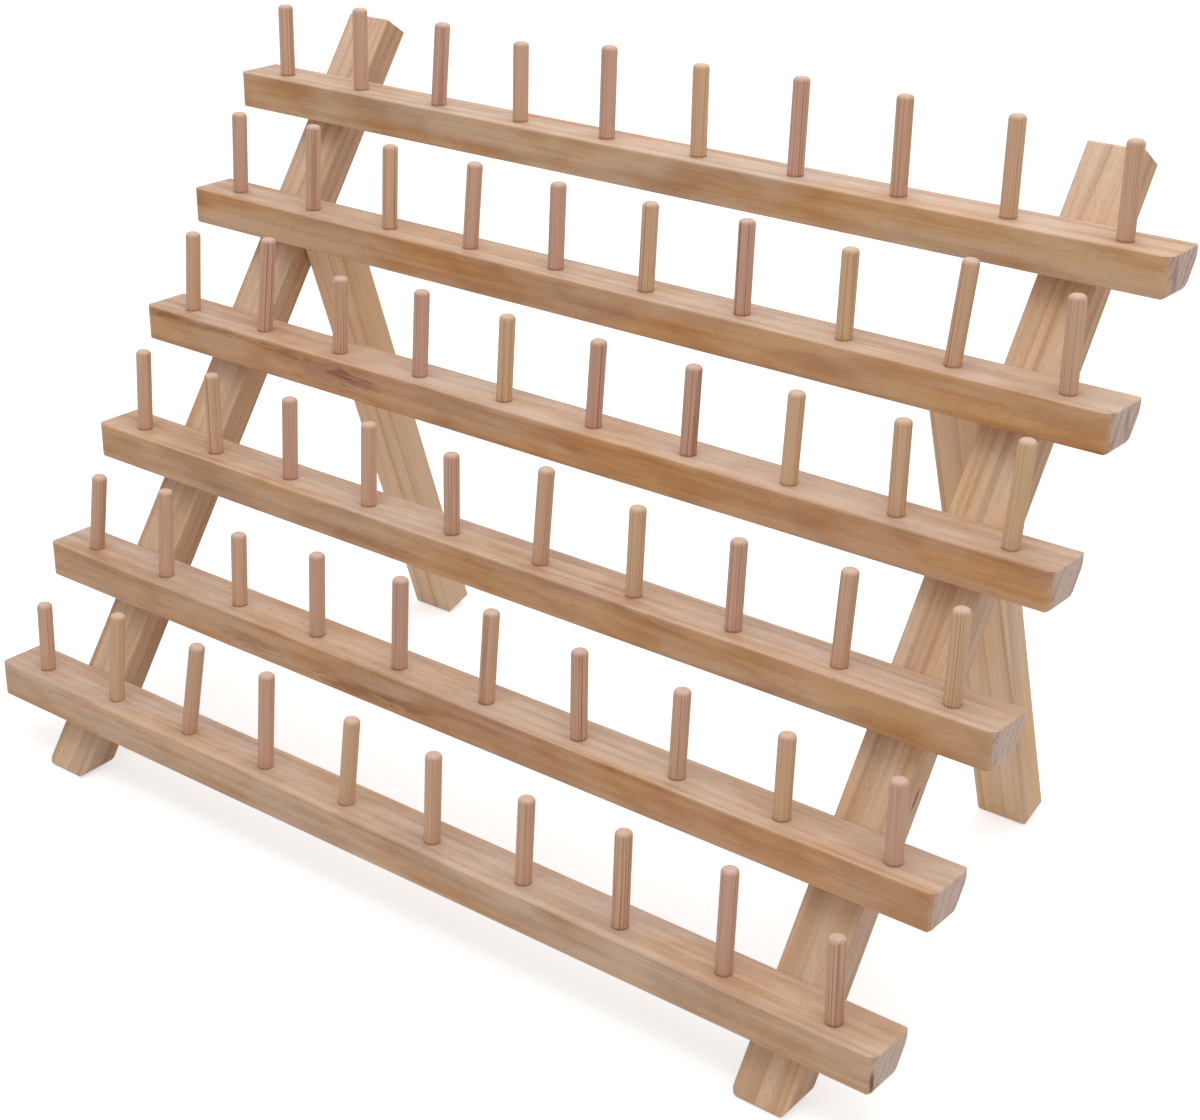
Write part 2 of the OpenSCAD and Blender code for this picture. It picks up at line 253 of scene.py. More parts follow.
class ThreadRackColours(bpy.types.PropertyGroup):
    """Colours of the rack's woods and metals."""

    rail_early: FloatVectorProperty(
        name="Rail early wood", description="Pale wood between a rail's rings", subtype="COLOR",
        default=linear("#D2B59E"))
    rail_late: FloatVectorProperty(
        name="Rail late wood", description="Dark edge of a rail's rings", subtype="COLOR",
        default=linear("#A6774F"))
    upright_early: FloatVectorProperty(
        name="Upright early wood", description="Pale wood between an upright's rings", subtype="COLOR",
        default=linear("#DFBC9D"))
    upright_late: FloatVectorProperty(
        name="Upright late wood", description="Dark edge of an upright's rings", subtype="COLOR",
        default=linear("#A97A50"))
    # Darkens the uprights' sides: partly their flat-sawn tone, partly painted shade
    upright_side_tone_and_shade: FloatVectorProperty(
        name="Upright sides", description="Tint of an upright's sides", subtype="COLOR",
        default=linear("#EEE7E3"))
    leg_early: FloatVectorProperty(
        name="Leg early wood", description="Pale wood between a leg's rings", subtype="COLOR",
        default=linear("#F7D5B0"))
    leg_late: FloatVectorProperty(
        name="Leg late wood", description="Dark edge of a leg's rings", subtype="COLOR",
        default=linear("#B88652"))
    # Darkens the legs' sides: partly their flat-sawn tone, partly painted shade
    leg_side_tone_and_shade: FloatVectorProperty(
        name="Leg sides", description="Tint of a leg's sides", subtype="COLOR",
        default=linear("#EAE4DF"))
    end: FloatVectorProperty(
        name="End grain", description="Pale wood where a board is sawn across", subtype="COLOR",
        default=linear("#CBB1A1"))
    end_late: FloatVectorProperty(
        name="End rings", description="Rings where a board is sawn across", subtype="COLOR",
        default=linear("#7E523B"))
    fleck: FloatVectorProperty(
        name="Flecks", description="Short resin lines in the pine", subtype="COLOR",
        default=linear("#94603C"))
    dowel: FloatVectorProperty(
        name="Dowel", description="Wood of the pegs", subtype="COLOR",
        default=linear("#D7BDA6"))
    dowel_line: FloatVectorProperty(
        name="Dowel lines", description="Rings that run up the pegs", subtype="COLOR",
        default=linear("#9A7057"))
    zinc: FloatVectorProperty(
        name="Zinc", description="Bright plating of the pivots", subtype="COLOR",
        default=linear("#C9CCD0"))
    yellow_zinc: FloatVectorProperty(
        name="Yellow zinc", description="Plating of the rail screws", subtype="COLOR",
        default=linear("#D3BD83"))


class ThreadRackStage(bpy.types.PropertyGroup):
    """The studio: floor, light and camera."""

    floor: FloatVectorProperty(
        name="Floor", description="Colour of the floor", subtype="COLOR",
        default=linear("#DCDCDC"))
    lift: FloatProperty(
        name="Floor lift", description="How far the eye sees the floor lifted towards white", default=0.58)
    sky: FloatProperty(
        name="Sky", description="Strength of the even light from all round", default=0.62)
    lamp: FloatProperty(
        name="Lamp", description="Power of the overhead lamp", unit="POWER", default=10)
    camera: FloatVectorProperty(
        name="Camera", description="Where the camera stands", subtype="TRANSLATION",
        default=(0.46289, -0.54124, 0.44846))
    aim: FloatVectorProperty(
        name="Aim", description="How the camera is turned", subtype="EULER",
        default=[math.radians(turn) for turn in (64.0156, 1.1037, 38.5753)])
    lens: FloatProperty(
        name="Lens", description="Focal length of the camera, in millimetres", default=67.069)
    shift: FloatVectorProperty(
        name="Shift", description="Shift of the lens", size=2, default=(0.00211, -0.00835))


class ThreadRackSettings(bpy.types.PropertyGroup):
    """All settings of the thread rack."""

    pegs: PointerProperty(type=ThreadRackPegs)
    pivots: PointerProperty(type=ThreadRackPivots)
    colours: PointerProperty(type=ThreadRackColours)
    stage: PointerProperty(type=ThreadRackStage)


# Materials


def pine_grain():
    """The figure of a pine board, from the rings of the log that it was sawn from.

    It works in millimetres in the board's own directions: along the grain, across and deep.
    """
    name = "pine grain"
    if name in bpy.data.node_groups:
        return bpy.data.node_groups[name]
    tree = bpy.data.node_groups.new(name, "ShaderNodeTree")
    vectors = ("Centre", "Along", "Across", "Pith", "Slope", "Shift")
    numbers = ("Ring width", "Wander", "Edge", "Contrast", "Bands", "Streaks", "Blotches", "Warmth",
               "Flecks", "End contrast")
    colours = ("Early", "Late", "Face", "Fleck", "End", "End late")
    for group, kind in ((vectors, "Vector"), (numbers, "Float"), (colours, "Color")):
        for socket in group:
            tree.interface.new_socket(socket, in_out="INPUT", socket_type=f"NodeSocket{kind}")
    for socket, kind in (("Colour", "Color"), ("Height", "Float"), ("Place", "Vector")):
        tree.interface.new_socket(socket, in_out="OUTPUT", socket_type=f"NodeSocket{kind}")
    given = add(tree, "NodeGroupInput").outputs
    coordinates = add(tree, "ShaderNodeTexCoord").outputs

    # The board's own place, in millimetres
    offset = add(tree, "ShaderNodeVectorMath", {0: coordinates["Object"], 1: given["Centre"]},
                 operation="SUBTRACT").outputs[0]
    offset = add(tree, "ShaderNodeVectorMath", {0: offset, "Scale": 1000},
                 operation="SCALE").outputs[0]
    deep = add(tree, "ShaderNodeVectorMath", {0: given["Along"], 1: given["Across"]},
               operation="CROSS_PRODUCT").outputs[0]
    along, across, depth = (
        add(tree, "ShaderNodeVectorMath", {0: offset, 1: way}, operation="DOT_PRODUCT").outputs["Value"]
        for way in (given["Along"], given["Across"], deep))
    place = add(tree, "ShaderNodeCombineXYZ", {0: along, 1: across, 2: depth}).outputs[0]
    moved = add(tree, "ShaderNodeVectorMath", {0: place, 1: given["Shift"]}, operation="ADD").outputs[0]

    # Noise fields, each by its length along the grain, its width across it and its detail
    fields = {}
    for field, length, width, detail in (
        ("bend", 160, 34, 1), ("wave", 46, 9, 2), ("band", 260, 4.6, 1), ("streak", 80, 2.3, 2),
        ("fibre", 34, 0.5, 2), ("fleck", 2.8, 0.3, 0), ("fleck cloud", 60, 8, 1), ("blotch", 34, 12, 3),
        ("mottle", 13, 5, 3), ("warmth", 70, 16, 2), ("pore", 0.5, 0.5, 2),
    ):
        sized = add(tree, "ShaderNodeVectorMath",
                    {0: moved, 1: (1 / length, 1 / width, 1 / width)}, operation="MULTIPLY").outputs[0]
        fields[field] = add(tree, "ShaderNodeTexNoise",
                            {"Vector": sized, "Scale": 1, "Detail": detail}).outputs["Fac"]

    # Rings round the pith, which runs a little askew and wanders
    askew = add(tree, "ShaderNodeVectorMath", {0: given["Slope"], "Scale": along},
                operation="SCALE").outputs[0]
    spoke = add(tree, "ShaderNodeVectorMath", {0: place, 1: given["Pith"]}, operation="SUBTRACT").outputs[0]
    spoke = add(tree, "ShaderNodeVectorMath", {0: spoke, 1: askew}, operation="SUBTRACT").outputs[0]
    spoke = add(tree, "ShaderNodeVectorMath", {0: spoke, 1: (0, 1, 1)}, operation="MULTIPLY").outputs[0]
    radius = add(tree, "ShaderNodeVectorMath", {0: spoke}, operation="LENGTH").outputs["Value"]
    bend = add(tree, "ShaderNodeMath", {0: fields["bend"], 1: given["Wander"], 2: radius},
               operation="MULTIPLY_ADD").outputs[0]
    ripple = add(tree, "ShaderNodeMath", {0: given["Wander"], 1: 0.2}, operation="MULTIPLY").outputs[0]
    wave = add(tree, "ShaderNodeMath", {0: fields["wave"], 1: ripple, 2: bend},
               operation="MULTIPLY_ADD").outputs[0]
    rings = add(tree, "ShaderNodeMath", {0: wave, 1: given["Ring width"]}, operation="DIVIDE").outputs[0]
    phase = add(tree, "ShaderNodeMath", {0: rings}, operation="FRACT").outputs[0]
    number = add(tree, "ShaderNodeMath", {0: rings}, operation="FLOOR").outputs[0]
    weight = add(tree, "ShaderNodeTexWhiteNoise", {"W": number}, noise_dimensions="1D").outputs["Value"]
    weight = add(tree, "ShaderNodeMapRange", {0: weight, 3: 0.4, 4: 1.0}).outputs[0]
    # A ring darkens slowly and ends in a short soft step
    late = add(tree, "ShaderNodeMath", {0: phase, 1: given["Edge"]}, operation="POWER").outputs[0]
    step = add(tree, "ShaderNodeMapRange", {0: phase, 1: 0.92, 2: 1.0, 3: 1.0, 4: 0.0},
               interpolation_type="SMOOTHSTEP").outputs[0]
    late = add(tree, "ShaderNodeMath", {0: late, 1: step}, operation="MULTIPLY").outputs[0]
    late = add(tree, "ShaderNodeMath", {0: late, 1: weight}, operation="MULTIPLY").outputs[0]

    # The faces that look across the board are flat-sawn: browner, with broader blotches and less mottling; on the
    # uprights and legs these are the sides, and their browner tint is partly painted shade
    normal = coordinates["Normal"]
    flat = add(tree, "ShaderNodeVectorMath", {0: normal, 1: given["Across"]},
               operation="DOT_PRODUCT").outputs["Value"]
    flat = add(tree, "ShaderNodeMath", {0: flat, 1: flat}, operation="MULTIPLY").outputs[0]

    # Long-grain colour
    band = add(tree, "ShaderNodeMapRange", {0: fields["band"], 1: 0.44, 2: 0.6},
               interpolation_type="SMOOTHSTEP").outputs[0]
    streak = add(tree, "ShaderNodeMapRange", {0: fields["streak"], 1: 0.42, 2: 0.7}).outputs[0]
    fibre = add(tree, "ShaderNodeMapRange",
                {0: fields["fibre"], 1: 0.3, 2: 0.7, 3: -0.1, 4: 0.1}).outputs[0]
    blotch = add(tree, "ShaderNodeMapRange",
                 {0: fields["blotch"], 1: 0.4, 2: 0.68, 3: -0.15, 4: 1.0}).outputs[0]
    share = add(tree, "ShaderNodeMapRange", {0: flat, 3: 0.55, 4: 1.0}).outputs[0]
    blotch = add(tree, "ShaderNodeMath", {0: blotch, 1: share}, operation="MULTIPLY").outputs[0]
    mottle = add(tree, "ShaderNodeMapRange",
                 {0: fields["mottle"], 1: 0.35, 2: 0.65, 3: -0.24, 4: 0.24}).outputs[0]
    share = add(tree, "ShaderNodeMapRange", {0: flat, 3: 1.0, 4: 0.4}).outputs[0]
    mottle = add(tree, "ShaderNodeMath", {0: mottle, 1: share}, operation="MULTIPLY").outputs[0]
    tone = fibre
    for part, amount in ((late, "Contrast"), (band, "Bands"), (streak, "Streaks"), (blotch, "Blotches"),
                         (mottle, "Blotches")):
        tone = add(tree, "ShaderNodeMath", {0: part, 1: given[amount], 2: tone},
                   operation="MULTIPLY_ADD").outputs[0]
    tone = add(tree, "ShaderNodeClamp", {0: tone}).outputs[0]
    wood = add(tree, "ShaderNodeMix", {0: tone, 6: given["Early"], 7: given["Late"]},
               data_type="RGBA").outputs[2]
    # The Face tint multiplies these faces; on the uprights' and legs' sides the darkening is partly painted shade
    wood = add(tree, "ShaderNodeMix", {0: flat, 6: wood, 7: given["Face"]},
               data_type="RGBA", blend_type="MULTIPLY").outputs[2]

    # The colour is fuller in places and greyer in others
    warmth = add(tree, "ShaderNodeMapRange",
                 {0: fields["warmth"], 1: 0.35, 2: 0.65, 3: -1.0, 4: 1.0}).outputs[0]
    warmth = add(tree, "ShaderNodeMath", {0: warmth, 1: given["Warmth"], 2: 1.0},
                 operation="MULTIPLY_ADD").outputs[0]
    wood = add(tree, "ShaderNodeHueSaturation", {"Saturation": warmth, "Color": wood}).outputs[0]

    # Resin flecks come in clouds
    cloud = add(tree, "ShaderNodeMapRange", {0: fields["fleck cloud"], 1: 0.36, 2: 0.58}).outputs[0]
    fleck = add(tree, "ShaderNodeMapRange", {0: fields["fleck"], 1: 0.63, 2: 0.73}).outputs[0]
    fleck = add(tree, "ShaderNodeMath", {0: fleck, 1: cloud}, operation="MULTIPLY").outputs[0]
    fleck = add(tree, "ShaderNodeMath", {0: fleck, 1: given["Flecks"]}, operation="MULTIPLY").outputs[0]
    wood = add(tree, "ShaderNodeMix", {0: fleck, 6: wood, 7: given["Fleck"]}, data_type="RGBA").outputs[2]

    # Sawn ends show the rings as stripes, over fine pores
    facing = add(tree, "ShaderNodeVectorMath", {0: normal, 1: given["Along"]},
                 operation="DOT_PRODUCT").outputs["Value"]
    facing = add(tree, "ShaderNodeMath", {0: facing}, operation="ABSOLUTE").outputs[0]
    facing = add(tree, "ShaderNodeMapRange", {0: facing, 1: 0.55, 2: 0.9},
                 interpolation_type="SMOOTHSTEP").outputs[0]
    pore = add(tree, "ShaderNodeMapRange", {0: fields["pore"], 1: 0.3, 2: 0.7, 3: -0.2, 4: 0.22}).outputs[0]
    pore = add(tree, "ShaderNodeMath", {0: streak, 1: 0.16, 2: pore}, operation="MULTIPLY_ADD").outputs[0]
    sawn = add(tree, "ShaderNodeMath", {0: late, 1: given["End contrast"], 2: pore},
               operation="MULTIPLY_ADD", use_clamp=True).outputs[0]
    sawn = add(tree, "ShaderNodeMix", {0: sawn, 6: given["End"], 7: given["End late"]},
               data_type="RGBA").outputs[2]
    colour = add(tree, "ShaderNodeMix", {0: facing, 6: wood, 7: sawn}, data_type="RGBA").outputs[2]

    height = add(tree, "ShaderNodeMath", {0: fields["fibre"], 1: late}, operation="ADD").outputs[0]
    add(tree, "NodeGroupOutput", {"Colour": colour, "Height": height, "Place": place})
    return tree


def pine_board(name, node, colours, along, across, stains, shift, **grain):
    """Planed and sanded pine, left bare: dull, warm, with soft rings and a faint nap along the grain."""
    low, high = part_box(node)
    material = bpy.data.materials.new(name)
    material.use_nodes = True
    tree = material.node_tree
    tree.nodes.clear()
    settings = {
        "Centre": (low + high) / 2, "Along": along, "Across": across, "Shift": (shift, shift / 3, shift / 7),
        "Fleck": colours.fleck, "End": colours.end, "End late": colours.end_late,
    }
    settings.update({key.replace("_", " ").capitalize(): value for key, value in grain.items()})
    figure = add(tree, "ShaderNodeGroup", node_tree=pine_grain())
    for key, value in settings.items():
        socket = figure.inputs[key]
        socket.default_value = (*value, 1) if socket.type == "RGBA" else value
    colour = figure.outputs["Colour"]
    if stains:
        # They soak along the grain, so streaks about 6 by 0.8 mm break them up
        place = figure.outputs["Place"]
        streak = add(tree, "ShaderNodeVectorMath", {0: place, 1: (1 / 6, 1 / 0.8, 1 / 0.8)},
                     operation="MULTIPLY").outputs[0]
        streak = add(tree, "ShaderNodeTexNoise", {"Vector": streak, "Scale": 1, "Detail": 3}).outputs["Fac"]
        streak = add(tree, "ShaderNodeMapRange", {0: streak, 3: -1.0, 4: 1.0}).outputs[0]
    for centre, size, tint, strength, ragged in stains:
        away = add(tree, "ShaderNodeVectorMath", {0: place, 1: centre}, operation="SUBTRACT").outputs[0]
        away = add(tree, "ShaderNodeVectorMath", {0: away, 1: size}, operation="DIVIDE").outputs[0]
        away = add(tree, "ShaderNodeVectorMath", {0: away}, operation="LENGTH").outputs["Value"]
        away = add(tree, "ShaderNodeMath", {0: streak, 1: ragged, 2: away},
                   operation="MULTIPLY_ADD").outputs[0]
        mask = add(tree, "ShaderNodeMapRange", {0: away, 1: 1.0, 2: 0.2, 3: 0.0, 4: strength},
                   interpolation_type="SMOOTHSTEP").outputs[0]
        colour = add(tree, "ShaderNodeMix", {0: mask, 6: colour, 7: (*linear(tint), 1)},
                     data_type="RGBA").outputs[2]
    bump = add(tree, "ShaderNodeBump", {"Height": figure.outputs["Height"], "Strength": 0.12,
                                        "Distance": 0.1 * MM}).outputs[0]
    shader = add(tree, "ShaderNodeBsdfPrincipled", {
        "Base Color": colour, "Roughness": 0.55, "IOR": 1.45, "Specular IOR Level": 0.5, "Normal": bump})
    add(tree, "ShaderNodeOutputMaterial", {"Surface": shader.outputs[0]})
    return material


def softwood_dowel(colours, tip_height):
    """Softwood turned to dowel and sanded: pinkish, with straight dark rings up each peg and a pale tip."""
    material = bpy.data.materials.new("turned softwood dowel")
    material.use_nodes = True
    tree = material.node_tree
    tree.nodes.clear()
    place = add(tree, "ShaderNodeAttribute", attribute_name="own_place").outputs["Vector"]
    shade = add(tree, "ShaderNodeAttribute", attribute_name="shade").outputs["Fac"]
    proud = add(tree, "ShaderNodeAttribute", attribute_name="proud").outputs["Fac"]
    # Each peg takes its own place in the noise, up to 400 mm away
    shift = add(tree, "ShaderNodeMath", {0: shade, 1: 400}, operation="MULTIPLY").outputs[0]
    shift = add(tree, "ShaderNodeCombineXYZ", {0: shift, 1: shift}).outputs[0]
    place_mm = add(tree, "ShaderNodeVectorMath", {0: place, "Scale": 1000}, operation="SCALE").outputs[0]
    moved = add(tree, "ShaderNodeVectorMath", {0: place_mm, 1: shift}, operation="ADD").outputs[0]

    # Rings cross the dowel as flat layers, stronger on some pegs than on others, and sway over 2 by 50 mm
    ring_width = 0.95
    sway = add(tree, "ShaderNodeVectorMath", {0: moved, 1: (1 / 2, 1 / 2, 1 / 50)},
               operation="MULTIPLY").outputs[0]
    sway = add(tree, "ShaderNodeTexNoise", {"Vector": sway, "Scale": 1, "Detail": 1}).outputs["Fac"]
    layer = add(tree, "ShaderNodeSeparateXYZ", {0: moved}).outputs[0]
    layer = add(tree, "ShaderNodeMath", {0: sway, 1: 0.9, 2: layer}, operation="MULTIPLY_ADD").outputs[0]
    layer = add(tree, "ShaderNodeMath", {0: layer, 1: ring_width}, operation="DIVIDE").outputs[0]
    phase = add(tree, "ShaderNodeMath", {0: layer}, operation="FRACT").outputs[0]
    number = add(tree, "ShaderNodeMath", {0: layer}, operation="FLOOR").outputs[0]
    weight = add(tree, "ShaderNodeTexWhiteNoise", {"W": number}, noise_dimensions="1D").outputs["Value"]
    weight = add(tree, "ShaderNodeMapRange", {0: weight, 3: 0.15, 4: 0.95}).outputs[0]
    ring = add(tree, "ShaderNodeValToRGB", {0: phase},
               stops=[(0, 0.1), (1, 0.1), (0.5, 0.15), (0.8, 1), (0.9, 0.9)]).outputs[0]
    ring = add(tree, "ShaderNodeMath", {0: ring, 1: weight}, operation="MULTIPLY").outputs[0]
    strong = add(tree, "ShaderNodeMath", {0: shade, 1: 7}, operation="MULTIPLY").outputs[0]
    strong = add(tree, "ShaderNodeMath", {0: strong}, operation="FRACT").outputs[0]
    strong = add(tree, "ShaderNodeMapRange", {0: strong, 3: 0.4, 4: 1.0}).outputs[0]
    ring = add(tree, "ShaderNodeMath", {0: ring, 1: strong}, operation="MULTIPLY").outputs[0]
    # Fibres about 0.3 mm thick and 20 mm long
    fibre = add(tree, "ShaderNodeVectorMath", {0: moved, 1: (3.3, 3.3, 0.05)},
                operation="MULTIPLY").outputs[0]
    fibre = add(tree, "ShaderNodeTexNoise", {"Vector": fibre, "Scale": 1, "Detail": 2}).outputs["Fac"]
    tone = add(tree, "ShaderNodeMapRange", {0: fibre, 1: 0.3, 2: 0.7, 3: -0.12, 4: 0.16}).outputs[0]
    tone = add(tree, "ShaderNodeMath", {0: tone, 1: ring}, operation="ADD", use_clamp=True).outputs[0]
    wood = add(tree, "ShaderNodeMix", {0: tone, 6: (*colours.dowel, 1), 7: (*colours.dowel_line, 1)},
               data_type="RGBA").outputs[2]

    # No two pegs are quite one colour
    drift = add(tree, "ShaderNodeMix", {0: shade, 6: (*linear("#FFF0D7"), 1), 7: (*linear("#F5DDDC"), 1)},
                data_type="RGBA").outputs[2]
    wood = add(tree, "ShaderNodeMix", {0: 1.0, 6: wood, 7: drift}, data_type="RGBA",
               blend_type="MULTIPLY").outputs[2]

    # The tip's end grain is pale, and a painted shadow darkens the foot where the peg leaves its rail
    height = add(tree, "ShaderNodeSeparateXYZ", {0: place_mm}).outputs[2]
    tip = add(tree, "ShaderNodeMapRange",
              {0: height, 1: tip_height / MM - 0.2, 2: tip_height / MM + 1.4, 3: 0.0, 4: 0.6}).outputs[0]
    wood = add(tree, "ShaderNodeMix", {0: tip, 6: wood, 7: (*linear("#DCC3B4"), 1)},
               data_type="RGBA").outputs[2]
    # Painted shadow: a dark brown fades in over the lowest 0.8 mm of each peg above its rail
    proud = add(tree, "ShaderNodeMath", {0: proud, 1: 1000, 2: height}, operation="MULTIPLY_ADD").outputs[0]
    foot = add(tree, "ShaderNodeMapRange", {0: proud, 1: 0.8, 2: 0.2, 3: 0.0, 4: 0.5}).outputs[0]
    wood = add(tree, "ShaderNodeMix", {0: foot, 6: wood, 7: (*linear("#6E4A33"), 1)},
               data_type="RGBA").outputs[2]
    bump = add(tree, "ShaderNodeBump", {"Height": tone, "Strength": 0.15, "Distance": 0.1 * MM}).outputs[0]
    shader = add(tree, "ShaderNodeBsdfPrincipled", {
        "Base Color": wood, "Roughness": 0.58, "IOR": 1.45, "Specular IOR Level": 0.35, "Normal": bump})
    add(tree, "ShaderNodeOutputMaterial", {"Surface": shader.outputs[0]})
    return material


def zinc_plate(name, colour):
    """Zinc plate over drawn steel: a greyish metal whose fine crystals break up its gloss."""
    if name in bpy.data.materials:
        return bpy.data.materials[name]
    material = bpy.data.materials.new(name)
    material.use_nodes = True
    tree = material.node_tree
    tree.nodes.clear()
    place = add(tree, "ShaderNodeTexCoord").outputs["Object"]
    # Crystals of about 0.7 mm, drawn larger than they are so that they show
    crystals_a_metre = 1400
    spangle = add(tree, "ShaderNodeTexNoise",
                  {"Vector": place, "Scale": crystals_a_metre, "Detail": 3}).outputs["Fac"]
    rough = add(tree, "ShaderNodeMapRange", {0: spangle, 1: 0.3, 2: 0.7, 3: 0.24, 4: 0.42}).outputs[0]
    dull = add(tree, "ShaderNodeMapRange", {0: spangle, 1: 0.3, 2: 0.7, 3: 0.0, 4: 0.25}).outputs[0]
    tint = add(tree, "ShaderNodeMix", {0: dull, 6: (*colour, 1), 7: (*linear("#7D7A74"), 1)},
               data_type="RGBA").outputs[2]
    shader = add(tree, "ShaderNodeBsdfPrincipled",
                 {"Base Color": tint, "Metallic": 1.0, "Roughness": rough})
    add(tree, "ShaderNodeOutputMaterial", {"Surface": shader.outputs[0]})
    return material


def dress(node, material):
    """Gives a CAD node its material."""
    slots = NODES[node].data.materials
    slots.clear()
    slots.append(material)


# Shapes


def lathe(name, outline, sides=32, ring=False):
    """A mesh turned about Z from an outline of radius and height.

    A radius may also be a function of the turn. The outline starts and ends on Z, or is closed into a ring.
    """
    mesh = bpy.data.meshes.new(name)
    shape = bmesh.new()
    turns = [2 * math.pi * k / sides for k in range(sides)]
    loops = []
    for radius, height in outline:
        if radius == 0:
            loops.append([shape.verts.new((0, 0, height))])
            continue
        reach = [radius(turn) if callable(radius) else radius for turn in turns]
        loops.append([shape.verts.new((r * math.cos(turn), r * math.sin(turn), height))
                      for r, turn in zip(reach, turns)])
    for low, high in zip(loops, loops[1:] + loops[:1] if ring else loops[1:]):
        for k in range(sides):
            after = k + 1
            corners = [low[k % len(low)], low[after % len(low)], high[after % len(high)], high[k % len(high)]]
            shape.faces.new(list(dict.fromkeys(corners))).smooth = True
    bmesh.ops.recalc_face_normals(shape, faces=shape.faces)
    shape.to_mesh(mesh)
    shape.free()
    return mesh


def rounded_rim(radius, rim, height, steps=8):
    """The end of an outline: a rim rounded above this height, then the flat top."""
    turns = [math.pi / 2 * k / steps for k in range(steps + 1)]
    arc = [(radius - rim + rim * math.cos(turn), height + rim * math.sin(turn)) for turn in turns]
    return arc + [(0, height + rim)]


def cross_cutter(length, width, depth, top):
    """A mesh of the tapered cross that a driver's tip leaves in a head."""
    loops = []
    # It narrows towards its foot and flares past the head's top
    for reach, height in ((length / 2 * 0.6, top - depth), (length / 2 * 1.2, top + depth / 2)):
        corners = [Vector((reach, -width / 2, height)), Vector((reach, width / 2, height)),
                   Vector((width / 2, width / 2, height))]
        loops.append([Matrix.Rotation(quarter * math.pi / 2, 3, "Z") @ corner
                      for quarter in range(4) for corner in corners])
    size = len(loops[0])
    walls = [(k, (k + 1) % size, size + (k + 1) % size, size + k) for k in range(size)]
    foot, mouth = tuple(reversed(range(size))), tuple(range(size, 2 * size))
    mesh = bpy.data.meshes.new("cross cutter")
    mesh.from_pydata(loops[0] + loops[1], [], [*walls, foot, mouth])
    return mesh


def carved(name, mesh, cutter):
    """A new object of a mesh with another mesh cut out of it."""
    scene = bpy.context.scene
    blank = bpy.data.objects.new(name + "_blank", mesh)
    tool = bpy.data.objects.new(name + "_tool", cutter)
    for thing in (blank, tool):
        scene.collection.objects.link(thing)
    cut = blank.modifiers.new("cut", "BOOLEAN")
    cut.operation = "DIFFERENCE"
    cut.solver = "EXACT"
    cut.object = tool
    bpy.context.view_layer.update()
    made = bpy.data.meshes.new_from_object(blank.evaluated_get(bpy.context.evaluated_depsgraph_get()))
    for thing in (blank, tool):
        bpy.data.objects.remove(thing)
    return plain_object(name, made)


def plain_object(name, mesh):
    """An object of a finished mesh, with its hard edges kept hard."""
    mesh.name = name
    mesh.set_sharp_from_angle(angle=math.radians(40))
    thing = bpy.data.objects.new(name, mesh)
    bpy.context.scene.collection.objects.link(thing)
    return thing


